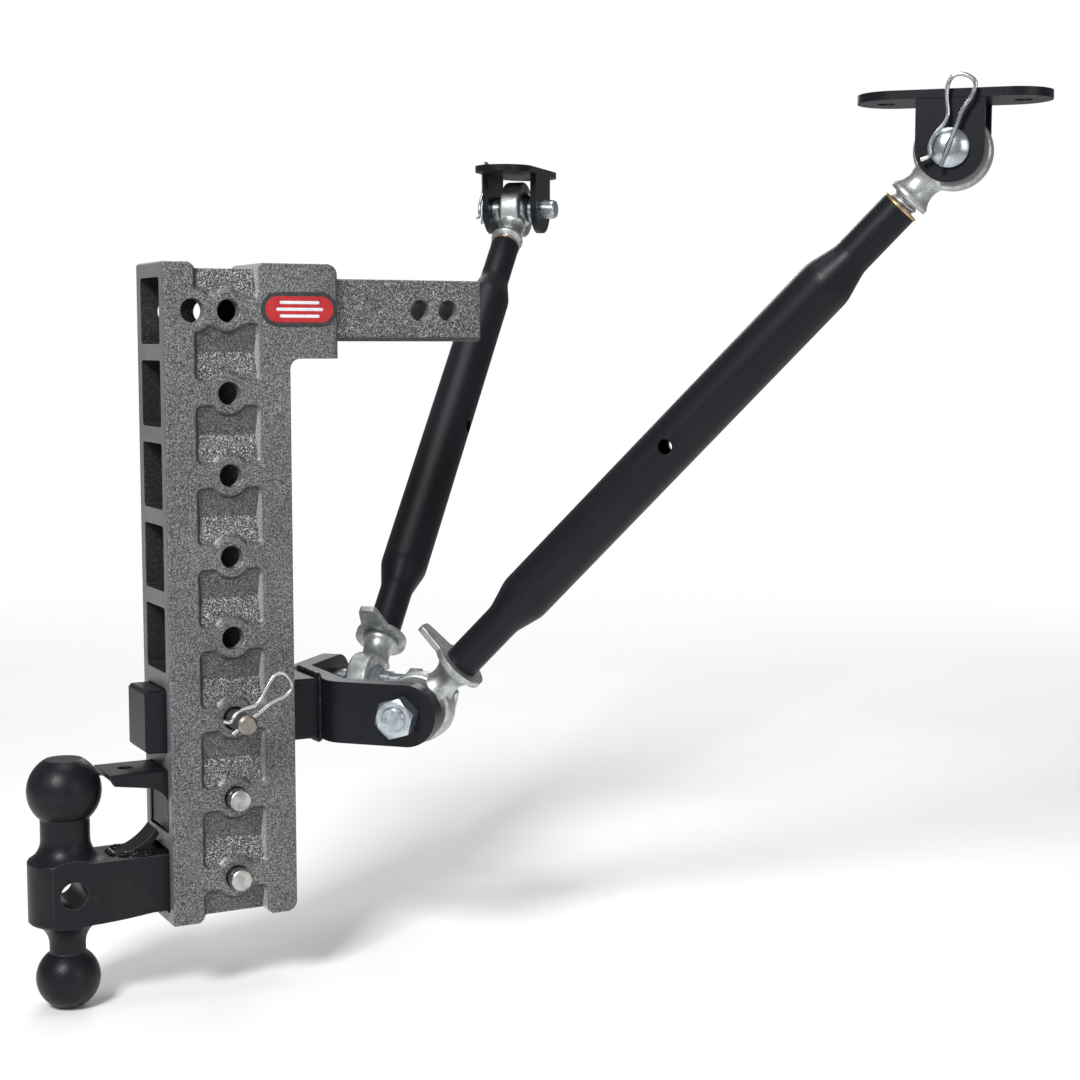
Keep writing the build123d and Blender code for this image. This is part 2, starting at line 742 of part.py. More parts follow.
# Turnbuckle tube.
tube_start = jam_end + washer_gap
tube_end = tube_start + tube_length
swell = neck_length + shoulder_length
bore_end = swell + 3.0
swell_blend_r = 28.0

with BuildPart() as turnbuckle_tube:
    with BuildSketch(lower_plane):
        with BuildLine():
            Polyline(
                (tube_start, stem_bore_r),
                (tube_start, tube_neck_r),
                (tube_start + neck_length, tube_neck_r),
                (tube_start + swell, tube_r),
                (tube_end - swell, tube_r),
                (tube_end - neck_length, tube_neck_r),
                (tube_end, tube_neck_r),
                (tube_end, stem_bore_r),
                (tube_end - bore_end, stem_bore_r),
                (tube_end - bore_end, tube_r - tube_wall),
                (tube_start + bore_end, tube_r - tube_wall),
                (tube_start + bore_end, stem_bore_r),
                close=True,
            )
        make_face()
    revolve(axis=arm_axis)
    swell_edges = [
        edge
        for edge in turnbuckle_tube.edges().filter_by(GeomType.CIRCLE)
        if abs(edge.radius - tube_r) < 0.01 or (abs(edge.radius - tube_neck_r) < 0.01)
    ]
    mouths = (lower_eye + arm_dir * tube_start, lower_eye + arm_dir * tube_end)
    inner_swells = [
        edge for edge in swell_edges if min((edge.arc_center - mouth).length for mouth in mouths) > 10
    ]
    fillet(inner_swells, radius=swell_blend_r)
    tommy_r = 6.0
    mid_plane = lower_plane.shift_origin(lower_eye + arm_dir * ((tube_start + tube_end) / 2))
    with BuildSketch(mid_plane):
        Circle(tommy_r)
    extrude(amount=tube_r + 5 * overcut, both=True, mode=Mode.SUBTRACT)
save_pair(turnbuckle_tube, "turnbuckle_tube")

seal_lip = 0.5
seal_height = 1.6

with BuildPart() as seal_ring:
    with BuildSketch(Plane(origin=lower_eye + arm_dir * tube_end, x_dir=inward, z_dir=arm_dir)):
        Circle(tube_neck_r + seal_lip)
        Circle(stem_bore_r, mode=Mode.SUBTRACT)
    extrude(amount=seal_height)
save_pair(seal_ring, "seal_ring")

upper_ball = pivot_ball(upper_plane)
save_pair(upper_ball, "upper_ball")
upper_ball_end = ball_end(upper_plane)
save_pair(upper_ball_end, "upper_ball_end")

# Clevis that bolts to the vehicle's frame.
clevis_inner = 23.3
clevis_wall = 6.4
clevis_ear_r = 25.0
plate_rise = 36.0
plate_length = 143.0
plate_hole_at = 50.0
plate_hole_d = 13.5
plate_width = 2 * (clevis_inner + clevis_wall) + 1.0
clevis_fit = 0.1

with BuildPart() as clevis_bracket:
    for low in (-clevis_inner - clevis_wall, clevis_inner):
        with BuildSketch(clevis_plane.offset(low)):
            Circle(clevis_ear_r)
            with Locations((0, -plate_rise / 2)):
                Rectangle(2 * clevis_ear_r, plate_rise)
            Circle(bolt_r + clevis_fit, mode=Mode.SUBTRACT)
        extrude(amount=clevis_wall)
    plate_plane = Plane(origin=upper_eye + Vector(0, 0, plate_rise), x_dir=outward_run, z_dir=(0, 0, 1))
    with BuildSketch(plate_plane):
        SlotOverall(plate_length, plate_width)
        with Locations((-plate_hole_at, 0), (plate_hole_at, 0)):
            Circle(plate_hole_d / 2, mode=Mode.SUBTRACT)
    extrude(amount=clevis_wall)
save_pair(clevis_bracket, "clevis_bracket")

clevis_face = clevis_inner + clevis_wall
pin_tip = -clevis_face - 15.0
clip_at = -clevis_face - 7.5
head_rim_r = 14.5
head_rim_end = clevis_face + 2.5
clip_swing = radians(20)

with BuildPart() as clevis_pin:
    with BuildSketch(Plane(origin=upper_eye, x_dir=outward_run, z_dir=(0, 0, -1))):
        with BuildLine():
            p1 = Line((0, pin_tip), (bolt_r - 4.0, pin_tip))
            p2 = ThreePointArc(p1 @ 1, (bolt_r - 1.1, pin_tip + 1.3), (bolt_r, pin_tip + 4.0))
            p3 = Line(p2 @ 1, (bolt_r, clevis_face + clevis_fit))
            p4 = Line(p3 @ 1, (head_rim_r, clevis_face + clevis_fit))
            p5 = Line(p4 @ 1, (head_rim_r, head_rim_end))
            p6 = ThreePointArc(p5 @ 1, (9.5, clevis_face + 6.2), (0, clevis_face + 7.5))
            Line(p6 @ 1, p1 @ 0)
        make_face()
    revolve(axis=Axis(upper_eye, inward))
    clevis_clip_dir = Vector(0, 0, 1) * cos(clip_swing) + outward_run * sin(clip_swing)
    clevis_clip_centre = upper_eye + inward * clip_at
    clip_hole_plane = Plane(
        origin=clevis_clip_centre - clevis_clip_dir * clip_hole_half, x_dir=inward, z_dir=clevis_clip_dir
    )
    with BuildSketch(clip_hole_plane):
        Circle(wire_r + wire_clearance)
    extrude(amount=2 * clip_hole_half, mode=Mode.SUBTRACT)
save_pair(clevis_pin, "clevis_pin")

with BuildPart() as clevis_spacers:
    for low in (-clevis_inner, ball_half + face_gap):
        with BuildSketch(clevis_plane.offset(low)):
            Circle(spacer_r)
            Circle(bolt_r + bolt_fit, mode=Mode.SUBTRACT)
        extrude(amount=clevis_inner - ball_half - face_gap)
save_pair(clevis_spacers, "clevis_spacers")

clevis_clip = hairpin(
    Plane(origin=clevis_clip_centre, x_dir=clevis_clip_dir, z_dir=-inward), bolt_r
)
save_pair(clevis_clip, "clevis_clip")
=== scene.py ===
"""Looks of an adjustable drop hitch with a dual ball mount and two stabiliser arms.

Metres, in the CAD model's frame: +X towards the towing vehicle, +Y to its left, +Z up.
"""
import json
import math
import random

import bmesh
import bpy
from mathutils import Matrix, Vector


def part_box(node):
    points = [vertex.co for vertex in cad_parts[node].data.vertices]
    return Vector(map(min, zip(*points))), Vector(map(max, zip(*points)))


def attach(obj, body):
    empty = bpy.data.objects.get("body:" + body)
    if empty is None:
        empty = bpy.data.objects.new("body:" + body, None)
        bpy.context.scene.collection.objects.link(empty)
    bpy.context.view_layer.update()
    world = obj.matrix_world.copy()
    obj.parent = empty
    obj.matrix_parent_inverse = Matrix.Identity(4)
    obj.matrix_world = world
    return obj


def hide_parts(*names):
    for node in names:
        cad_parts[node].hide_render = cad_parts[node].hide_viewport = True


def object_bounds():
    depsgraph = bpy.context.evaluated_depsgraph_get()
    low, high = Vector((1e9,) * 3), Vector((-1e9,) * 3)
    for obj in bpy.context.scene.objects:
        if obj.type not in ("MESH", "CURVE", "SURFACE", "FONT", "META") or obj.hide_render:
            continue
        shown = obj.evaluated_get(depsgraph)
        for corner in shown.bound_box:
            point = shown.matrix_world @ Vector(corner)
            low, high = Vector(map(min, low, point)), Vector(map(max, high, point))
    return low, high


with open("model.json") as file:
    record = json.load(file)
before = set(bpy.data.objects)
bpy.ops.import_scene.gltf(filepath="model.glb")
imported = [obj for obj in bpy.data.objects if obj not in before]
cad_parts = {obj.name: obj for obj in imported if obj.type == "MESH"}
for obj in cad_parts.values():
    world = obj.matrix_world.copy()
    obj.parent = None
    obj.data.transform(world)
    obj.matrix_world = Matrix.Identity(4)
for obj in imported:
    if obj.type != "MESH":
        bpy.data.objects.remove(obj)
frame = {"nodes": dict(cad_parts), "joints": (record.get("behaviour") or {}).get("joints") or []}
cad_low, cad_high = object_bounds()
nodes = frame["nodes"]
joints = {joint["name"]: joint for joint in frame["joints"]}
MM = 0.001
SIDES = {"right": -1, "left": 1}
rng = random.Random(7)

# ---- node helpers ---------------------------------------------------------

EDGE_STARTS = 0.985  # cosine between the rounded normal and the true one where an edge starts to show
EDGE_FULL = 0.80  # and where it shows in full
BEVEL_SAMPLES = 4
SHELTER_SAMPLES = 6


def node(tree, kind, inputs=None, **settings):
    """Add a shader node, set its properties, and fill or link its inputs."""
    made = tree.nodes.new(kind)
    for name, value in settings.items():
        setattr(made, name, value)
    for name, value in (inputs or {}).items():
        if isinstance(value, bpy.types.NodeSocket):
            tree.links.new(value, made.inputs[name])
        else:
            made.inputs[name].default_value = value
    return made


def new_material(name, **sockets):
    """A node material with constant values set on its Principled shader."""
    material = bpy.data.materials.new(name)
    material.use_nodes = True
    tree = material.node_tree
    shader = tree.nodes["Principled BSDF"]
    for socket, value in sockets.items():
        shader.inputs[socket.replace("_", " ")].default_value = value
    return material, tree, shader


def connect(tree, shader, **sockets):
    """Link values that vary over the surface to the shader's sockets."""
    for socket, value in sockets.items():
        tree.links.new(value, shader.inputs[socket.replace("_", " ")])


def grey(value, tint=(1.0, 1.0, 1.0)):
    """A grey with a slight tint, as RGBA."""
    return (value * tint[0], value * tint[1], value * tint[2], 1.0)


def ramp(tree, factor, stops):
    """A colour ramp through (position, colour) stops."""
    made = node(tree, "ShaderNodeValToRGB", {"Fac": factor})
    elements = made.color_ramp.elements
    while len(elements) < len(stops):
        elements.new(0.5)
    for element, (position, colour) in zip(elements, stops):
        element.position = position
        element.color = colour
    return made.outputs["Color"]


def grey_ramp(tree, factor, stops, tint=(1.0, 1.0, 1.0), gain=1.0):
    """A ramp through (position, brightness) stops."""
    return ramp(tree, factor, [(position, grey(level * gain, tint)) for position, level in stops])


def object_coords(tree):
    """The place on the object, in metres."""
    return node(tree, "ShaderNodeTexCoord").outputs["Object"]


def face_normal(tree):
    """The way the surface faces."""
    return node(tree, "ShaderNodeNewGeometry").outputs["Normal"]


def axes(tree, vector):
    """A vector's X, Y and Z sockets."""
    return node(tree, "ShaderNodeSeparateXYZ", {"Vector": vector}).outputs


def noise(tree, coords, size, detail=2.0, roughness=0.5, distortion=0.0):
    """Noise whose grains are about size metres across."""
    made = node(
        tree,
        "ShaderNodeTexNoise",
        {
            "Vector": coords,
            "Scale": 1 / size,
            "Detail": detail,
            "Roughness": roughness,
            "Distortion": distortion,
        },
    )
    return made.outputs["Fac"]


def maths(tree, operation, a, b=0.0):
    """One Math node."""
    return node(tree, "ShaderNodeMath", {0: a, 1: b}, operation=operation).outputs[0]


def times(tree, product, *others):
    """Several values multiplied together."""
    for other in others:
        product = maths(tree, "MULTIPLY", product, other)
    return product


def mix_colour(tree, factor, a, b, blend="MIX"):
    """Blend two colours: a Mix node has them in sockets 6 and 7, and their result in 2."""
    made = node(tree, "ShaderNodeMix", {0: factor, 6: a, 7: b}, data_type="RGBA", blend_type=blend)
    return made.outputs[2]


def map_range(tree, value, low, high, to_low=0.0, to_high=1.0):
    """A smooth step from to_low at low to to_high at high."""
    made = node(
        tree,
        "ShaderNodeMapRange",
        {"Value": value, "From Min": low, "From Max": high, "To Min": to_low, "To Max": to_high},
        interpolation_type="SMOOTHSTEP",
    )
    return made.outputs["Result"]


def within(tree, value, low, high, soft=0.5 * MM):
    """1 where a value lies between low and high, fading over soft at each end."""
    above = map_range(tree, value, low - soft, low + soft)
    below = map_range(tree, value, high + soft, high - soft)
    return times(tree, above, below)


def shelter(tree, reach):
    """1 in the open, falling towards 0 in corners and recesses narrower than reach metres."""
    made = node(tree, "ShaderNodeAmbientOcclusion", {"Distance": reach}, samples=SHELTER_SAMPLES)
    return made.outputs["AO"]


def rounded_normal(tree, radius):
    """The surface normal with edges rounded over by radius metres."""
    return node(tree, "ShaderNodeBevel", {"Radius": radius}, samples=BEVEL_SAMPLES).outputs["Normal"]


def edge_mask(tree, normal):
    """1 on the edges that the rounded normal turns over, 0 on open faces."""
    true = node(tree, "ShaderNodeNewGeometry").outputs["True Normal"]
    product = node(tree, "ShaderNodeVectorMath", {0: normal, 1: true}, operation="DOT_PRODUCT")
    return map_range(tree, product.outputs["Value"], EDGE_STARTS, EDGE_FULL)


def bump(tree, height, strength, distance, normal):
    """A normal roughened by a height."""
    inputs = {"Height": height, "Strength": strength, "Distance": distance, "Normal": normal}
    return node(tree, "ShaderNodeBump", inputs).outputs["Normal"]


# ---- materials ------------------------------------------------------------

frame_low, frame_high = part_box("ladder_frame")
frame_half_width = frame_high.y

COAT_TINT = (0.97, 0.985, 1.02)

# The hammertone's dark veins and bright flecks, as (noise level, brightness).
OPEN_COAT = ((0.36, 0.030), (0.47, 0.085), (0.55, 0.165), (0.70, 0.330))
# The next ramp holds the brighter flecks of the highlight painted in the pockets.
POCKET_GLINT_FLECKS = ((0.38, 0.010), (0.49, 0.060), (0.57, 0.260), (0.68, 0.800))
REAR_COAT = ((0.30, 0.095), (0.70, 0.200))
CLOUDS = ((0.3, 0.84), (0.7, 1.10))

# Slopes, as (starts, full) along one axis of the surface normal.
# The next six slopes pick where highlight and shade are painted in the pockets.
FLOOR_TILT = (0.30, 0.60)
FLOOR_RISES = (-0.05, 0.07)
FLOOR_DROPS = (0.0, -0.06)
REAR_WALL = (-0.25, -0.55)
FRONT_WALL = (0.25, 0.50)
ROOF_WALL = (-0.25, -0.50)
REAR_FACE = (-0.75, -0.95)
# The window wall slope picks the walls that get painted shade.
WINDOW_WALL = (0.6, 0.3)

# How fully each tone covers the coat under it. Apart from the rear face's smoother coat, these are painted
# light and shade: the glints, sheen and shade painted in the pockets, the shade painted inside the windows,
# and the highlight painted along the ladder's edges.
GLINT_LEAST = 0.22
GLINT_MOST = 0.85
DROP_SHADE_MOST = 0.42
PAINTED_SHEEN_GREY = 0.55
WALL_SHADE = 0.70
WINDOW_SHADE = 0.85
REAR_FACE_MOST = 0.75
LADDER_EDGE_HIGHLIGHT = 0.45

# A pocket's painted highlight and shade start and are full this far below the cheek's outer face.
POCKET_STARTS = 0.6 * MM
POCKET_FULL = 4.0 * MM
# The windows, whose walls get painted shade, run between the cheeks, inside these margins from the ends of
# the ladder frame's box.
WINDOW_HALF = 25.8 * MM
WINDOW_FADE = (0.8 * MM, 0.2 * MM)
WINDOW_BOTTOM = 6 * MM
WINDOW_TOP = 10 * MM
WINDOW_REAR = -1 * MM
WINDOW_FRONT = 28 * MM

# Sizes of the larger patterns in the finishes.
# The patch size sets the patches of the highlight painted in the pockets.
PATCH_SIZE = 14 * MM
CLOUD_SIZE = 60 * MM
PALE_CLOUD_SIZE = 35 * MM
BLOTCH_SIZE = 9 * MM
STAIN_SIZE = 6 * MM
MOTTLE_SIZE = 5 * MM
# How far into corners and recesses the ladder's painted shade reaches.
CORNER_REACH = 9 * MM
LADDER_EDGE = 1.4 * MM
LOCK_PIN_EDGE = 0.5 * MM
RING_SCALE = 420.0
BAND_SCALE = 700.0


def paint_pocket_light_and_shade(tree, coords, fine, colour, facing, sunk):
    """Paint light and shade into the pockets by slope: bright flecks as a painted highlight on the floors'
    rising half, a painted sheen on the rear walls, and painted shade on the floors' dropping half, the front
    walls and the roofs.
    """
    # Painted highlight: bright flecks in patches on the rising half of the floors.
    bright = grey_ramp(tree, fine, POCKET_GLINT_FLECKS)
    floor_like = map_range(tree, maths(tree, "ABSOLUTE", facing["Y"]), *FLOOR_TILT)
    patchy = map_range(tree, noise(tree, coords, PATCH_SIZE, detail=1.0), 0.35, 0.65, 0.45, 0.85)
    rising = map_range(tree, facing["Z"], *FLOOR_RISES, GLINT_LEAST, GLINT_MOST)
    colour = mix_colour(tree, times(tree, sunk, floor_like, patchy, rising), colour, bright)
    # Painted sheen on the rear walls.
    sheen = mix_colour(tree, 0.55, bright, grey(PAINTED_SHEEN_GREY))
    rear_wall = map_range(tree, facing["X"], *REAR_WALL)
    colour = mix_colour(tree, times(tree, sunk, rear_wall), colour, sheen)
    # Painted shade on the dropping half of the floors.
    dropping = map_range(tree, facing["Z"], *FLOOR_DROPS, 0.0, DROP_SHADE_MOST)
    colour = mix_colour(tree, times(tree, sunk, floor_like, dropping), colour, grey(0.024, COAT_TINT))
    # Painted shade on the front walls and the roofs.
    front_wall = map_range(tree, facing["X"], *FRONT_WALL)
    roof_wall = map_range(tree, facing["Z"], *ROOF_WALL)
    shaded = times(tree, sunk, maths(tree, "MAXIMUM", front_wall, roof_wall), WALL_SHADE)
    return mix_colour(tree, shaded, colour, grey(0.030, COAT_TINT))


def paint_window_shade(tree, colour, place, facing, sideways):
    """Paint shade onto the walls inside the ladder's windows."""
    across = map_range(tree, sideways, *(WINDOW_HALF + fade for fade in WINDOW_FADE))
    up = within(tree, place["Z"], frame_low.z + WINDOW_BOTTOM, frame_high.z - WINDOW_TOP)
    along = within(tree, place["X"], frame_low.x + WINDOW_REAR, frame_high.x - WINDOW_FRONT)
    wall = map_range(tree, maths(tree, "ABSOLUTE", facing["X"]), *WINDOW_WALL)
    inside = times(tree, across, up, along, wall, WINDOW_SHADE)
    return mix_colour(tree, inside, colour, grey(0.014, COAT_TINT))


def hammertone(name, grain, gain):
    """Grey hammertone powder coat: dark veins round bright flecks, with highlight and shade painted in the
    pockets, shade painted inside the windows and in corners, and a highlight painted along the edges.
    """
    material, tree, shader = new_material(name, Metallic=0.35, Roughness=0.42)
    coords = object_coords(tree)
    place = axes(tree, coords)
    facing = axes(tree, face_normal(tree))
    sideways = maths(tree, "ABSOLUTE", place["Y"])
    sunk = map_range(tree, sideways, frame_half_width - POCKET_STARTS, frame_half_width - POCKET_FULL)
    fine = noise(tree, coords, grain, detail=2.5, roughness=0.62, distortion=0.35)
    colour = grey_ramp(tree, fine, OPEN_COAT, COAT_TINT, gain)
    # Painted highlight and shade in the pockets.
    colour = paint_pocket_light_and_shade(tree, coords, fine, colour, facing, sunk)
    rear_face = map_range(tree, facing["X"], *REAR_FACE, 0.0, REAR_FACE_MOST)
    colour = mix_colour(tree, rear_face, colour, grey_ramp(tree, fine, REAR_COAT, COAT_TINT))
    # Painted shade inside the windows.
    colour = paint_window_shade(tree, colour, place, facing, sideways)
    # Painted shade: the coat darkens in corners and recesses.
    corner = map_range(tree, shelter(tree, CORNER_REACH), 0.35, 0.90, 0.35, 1.0)
    shade = grey_ramp(tree, corner, ((0.0, 0.0), (1.0, 1.0)))
    colour = mix_colour(tree, 1.0, colour, shade, "MULTIPLY")
    clouds = grey_ramp(tree, noise(tree, coords, CLOUD_SIZE, detail=3.0), CLOUDS)
    colour = mix_colour(tree, 1.0, colour, clouds, "MULTIPLY")
    normal = rounded_normal(tree, LADDER_EDGE)
    # Painted highlight: light grey along the rounded edges.
    highlit_edges = times(tree, edge_mask(tree, normal), LADDER_EDGE_HIGHLIGHT)
    connect(
        tree,
        shader,
        Base_Color=mix_colour(tree, highlit_edges, colour, grey(0.42, COAT_TINT)),
        Roughness=map_range(tree, fine, 0.35, 0.65, 0.56, 0.30),
        Normal=bump(tree, fine, 0.55, 0.35 * MM, normal),
    )
    return material


FLECK_TINT = (0.92, 0.97, 1.1)
# The tint of the paler clouds on black paint.
PALE_CLOUD_TINT = (1.0, 1.0, 1.06)
# The grey of the highlight painted along the edges of black paint.
EDGE_HIGHLIGHT_GREY = grey(0.16, (0.95, 0.98, 1.06))


def black_coat(name, base, roughness, grain, fleck, edge_radius=0.0, edge_highlight=0.0, relief=0.18 * MM):
    """Satin black paint with a fine grain. Without an edge_radius its edges stay sharp and get no painted
    highlight.
    """
    material, tree, shader = new_material(name, Metallic=0.0, Specular_IOR_Level=0.20)
    coords = object_coords(tree)
    paint = (*base, 1.0)
    fine = noise(tree, coords, grain, detail=2.0, roughness=0.6)
    colour = ramp(tree, fine, [(0.42, paint), (0.62, paint), (0.74, grey(fleck, FLECK_TINT))])
    # Paler, bluer clouds at random over the black.
    cloudy = noise(tree, coords, PALE_CLOUD_SIZE, detail=4.0, roughness=0.65)
    pale_clouds = map_range(tree, cloudy, 0.45, 0.75, 0.0, 0.35)
    colour = mix_colour(tree, pale_clouds, colour, grey(fleck * 0.6, PALE_CLOUD_TINT))
    if edge_radius:
        normal = rounded_normal(tree, edge_radius)
        # Painted highlight: a paler grey along the rounded edges.
        colour = mix_colour(tree, times(tree, edge_mask(tree, normal), edge_highlight), colour, EDGE_HIGHLIGHT_GREY)
    else:
        normal = face_normal(tree)
    connect(
        tree,
        shader,
        Base_Color=colour,
        Roughness=map_range(tree, fine, 0.3, 0.7, roughness - 0.07, roughness + 0.10),
        Normal=bump(tree, fine, 0.30, relief, normal),
    )
    return material


def plated_steel(name, base, roughness, grain, relief, blotch, edge_radius):
    """Zinc plate on forged or machined steel: grainy, with patches dulled by the blotch factor."""
    material, tree, shader = new_material(name, Metallic=0.95)
    coords = object_coords(tree)
    fine = noise(tree, coords, grain, detail=3.0, roughness=0.65)
    patches = noise(tree, coords, BLOTCH_SIZE, detail=3.0, roughness=0.6)
    dull = grey(base[0] * blotch, (1.0, base[1] / base[0], base[2] / base[0]))
    colour = ramp(tree, patches, [(0.34, dull), (0.60, (*base, 1.0))])
    speckle = grey_ramp(tree, fine, ((0.35, 0.72), (0.65, 1.12)))
    connect(
        tree,
        shader,
        Base_Color=mix_colour(tree, 1.0, colour, speckle, "MULTIPLY"),
        Roughness=map_range(tree, patches, 0.3, 0.7, roughness + 0.12, roughness - 0.06),
        Normal=bump(tree, fine, 0.35, relief, rounded_normal(tree, edge_radius)),
    )
    return material


def waves(tree, local, scale, distortion, **settings):
    """Fine machining lines, in rings or bands."""
    inputs = {"Vector": local, "Scale": scale, "Distortion": distortion, "Detail": 1.0}
    return node(tree, "ShaderNodeTexWave", inputs, **settings).outputs["Fac"]


def turned_steel(name, base, centre):
    """Stainless bar turned on a lathe along Y: fine rings on its ends and round its sides."""
    material, tree, shader = new_material(name, Metallic=1.0, Anisotropic=0.75)
    coords = object_coords(tree)
    local = node(tree, "ShaderNodeVectorMath", {0: coords, 1: centre}, operation="SUBTRACT").outputs[0]
    rings = waves(tree, local, RING_SCALE, 0.6, wave_type="RINGS", rings_direction="Y")
    bands = waves(tree, local, BAND_SCALE, 0.8, wave_type="BANDS", bands_direction="Y")
    sideways = maths(tree, "ABSOLUTE", axes(tree, face_normal(tree))["Y"])
    end_face = map_range(tree, sideways, 0.8, 0.95)
    lines = node(tree, "ShaderNodeMix", {0: end_face, 2: bands, 3: rings}).outputs[0]
    stains = noise(tree, coords, STAIN_SIZE, detail=3.0)
    dull = grey(base[0] * 0.62, (1.0, 0.96, 0.92))
    connect(
        tree,
        shader,
        Base_Color=ramp(tree, stains, [(0.30, dull), (0.62, (*base, 1.0))]),
        Roughness=map_range(tree, stains, 0.3, 0.7, 0.36, 0.24),
        Normal=bump(tree, lines, 0.45, 0.06 * MM, rounded_normal(tree, LOCK_PIN_EDGE)),
        Tangent=node(tree, "ShaderNodeTangent", direction_type="RADIAL", axis="Y").outputs["Tangent"],
    )
    return material


def enamel(name, base, roughness):
    """Glossy printed colour with slight unevenness."""
    material, tree, shader = new_material(name, Coat_Weight=0.12, Specular_IOR_Level=0.3)
    mottle = noise(tree, object_coords(tree), MOTTLE_SIZE, detail=4.0)
    darker = (base[0] * 0.8, base[1] * 0.8, base[2] * 0.8, 1.0)
    connect(
        tree,
        shader,
        Base_Color=ramp(tree, mottle, [(0.3, darker), (0.65, (*base, 1.0))]),
        Roughness=map_range(tree, mottle, 0.3, 0.7, roughness + 0.08, roughness - 0.05),
    )
    return material


KIT_PAINT = (0.0060, 0.0066, 0.0098)
LOCK_PIN_STEEL = (0.50, 0.49, 0.47)

ladder_coat = hammertone("ladder_hammertone", grain=1.15 * MM, gain=1.0)
shank_coat = hammertone("shank_hammertone", grain=1.0 * MM, gain=0.90)
mount_black = black_coat(
    "mount_black",
    (0.0055, 0.0060, 0.0085),
    0.38,
    grain=1.1 * MM,
    fleck=0.035,
    edge_radius=1.2 * MM,
    edge_highlight=0.50,
)
kit_black = black_coat("kit_black", KIT_PAINT, 0.34, grain=0.8 * MM, fleck=0.018, edge_radius=0.6 * MM)
tube_black = black_coat("tube_black", KIT_PAINT, 0.40, grain=0.8 * MM, fleck=0.018, relief=0.04 * MM)
weld_black = black_coat(
    "weld_black", (0.0080, 0.0080, 0.0090), 0.20, grain=2.5 * MM, fleck=0.020, edge_radius=0.4 * MM
)

# Plating: colour, roughness, grain size, relief, how dull its patches are, and edge radius.
forged_zinc = plated_steel("forged_zinc", (0.60, 0.62, 0.62), 0.42, 0.9 * MM, 0.25 * MM, 0.60, 1.0 * MM)
bright_zinc = plated_steel("bright_zinc", (0.56, 0.62, 0.67), 0.26, 0.6 * MM, 0.06 * MM, 0.62, 0.6 * MM)
wire_steel = plated_steel("wire_steel", (0.62, 0.64, 0.66), 0.22, 0.5 * MM, 0.04 * MM, 0.70, 0.3 * MM)
pin_steel = plated_steel("pin_steel", (0.34, 0.31, 0.28), 0.34, 0.7 * MM, 0.05 * MM, 0.70, 0.6 * MM)
seal_brass = plated_steel("seal_brass", (0.62, 0.42, 0.20), 0.30, 0.7 * MM, 0.05 * MM, 0.75, 0.3 * MM)

# Which look each CAD node wears.
NODE_LOOKS = {
    "ladder_frame": ladder_coat,
    "receiver_shank": shank_coat,
    "dual_ball_mount": mount_black,
    "curved_strap": mount_black,
    "upper_bracket": mount_black,
    "bracket_end_plate": mount_black,
    "stabiliser_stub": kit_black,
    "bent_bar": kit_black,
    "stub_pin": pin_steel,
    "stub_pin_clip": wire_steel,
}
# The same for the nodes that both arms have.
PAIR_LOOKS = {
    "pivot_bolt": bright_zinc,
    "pivot_nut": bright_zinc,
    "ear_spacer": bright_zinc,
    "head_spacer": bright_zinc,
    "lower_ball": bright_zinc,
    "lower_ball_end": forged_zinc,
    "lock_flange": forged_zinc,
    "turnbuckle_tube": tube_black,
    "seal_ring": seal_brass,
    "upper_ball": bright_zinc,
    "upper_ball_end": forged_zinc,
    "clevis_bracket": kit_black,
    "clevis_pin": bright_zinc,
    "clevis_spacers": bright_zinc,
    "clevis_clip": wire_steel,
}


def dress(piece, material):
    """Give a piece one material in place of whatever it has."""
    piece.data.materials.clear()
    piece.data.materials.append(material)


for name, look in NODE_LOOKS.items():
    dress(nodes[name], look)
for side in SIDES:
    for name, look in PAIR_LOOKS.items():
        dress(nodes[f"{side}_{name}"], look)
for name in ("upper_lock_pin", "lower_lock_pin"):
    pin_low, pin_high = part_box(name)
    dress(nodes[name], turned_steel(f"{name}_steel", LOCK_PIN_STEEL, (pin_low + pin_high) / 2))

# ---- mesh helpers ---------------------------------------------------------

UP = Vector((0, 0, 1))

THREAD_SAMPLES = 6  # rings to a turn
THREAD_SEGMENTS = 28
THREAD_STEEPNESS = 1.6
THREAD_ROOT = 0.25
THREAD_END_CREST = 0.35  # how much of a thread's depth is left at the very end

HEX_SEGMENTS = 72
HEX_CHAMFER_START = 0.955  # share of the half width across flats where the chamfer starts
HEX_CHAMFER_ANGLE = 30
HEX_RIM_DROP = 0.35 * MM

BEAD_SPACING = 0.8 * MM  # between the rings of a weld bead
BEAD_RIPPLE = 3.4 * MM
BEAD_SCALLOP = 0.20
BEAD_WOBBLE = 0.16
BEAD_END_SIZE = 0.35  # a bead's size at its end, as a share, and its growth per ring from there
BEAD_END_GROWTH = 0.16
BEAD_SQUASH = 0.8


def mesh_piece(name, bm, material, smooth_angle=35.0):
    """Turn a bmesh into an object with smooth faces and sharp creases."""
    bmesh.ops.recalc_face_normals(bm, faces=bm.faces)
    mesh = bpy.data.meshes.new(name)
    bm.to_mesh(mesh)
    bm.free()
    for polygon in mesh.polygons:
        polygon.use_smooth = True
    mesh.set_sharp_from_angle(angle=math.radians(smooth_angle))
    piece = bpy.data.objects.new(name, mesh)
    bpy.context.scene.collection.objects.link(piece)
    dress(piece, material)
    return piece


def skin_rings(bm, rings, closed=False):
    """Join rings of vertices into a tube, and cap its ends unless it closes on itself."""
    count = len(rings)
    for index in range(count if closed else count - 1):
        first, second = rings[index], rings[(index + 1) % count]
        for corner in range(len(first)):
            after = (corner + 1) % len(first)
            bm.faces.new((first[corner], first[after], second[after], second[corner]))
    if not closed:
        bm.faces.new(rings[0])
        bm.faces.new(rings[-1])


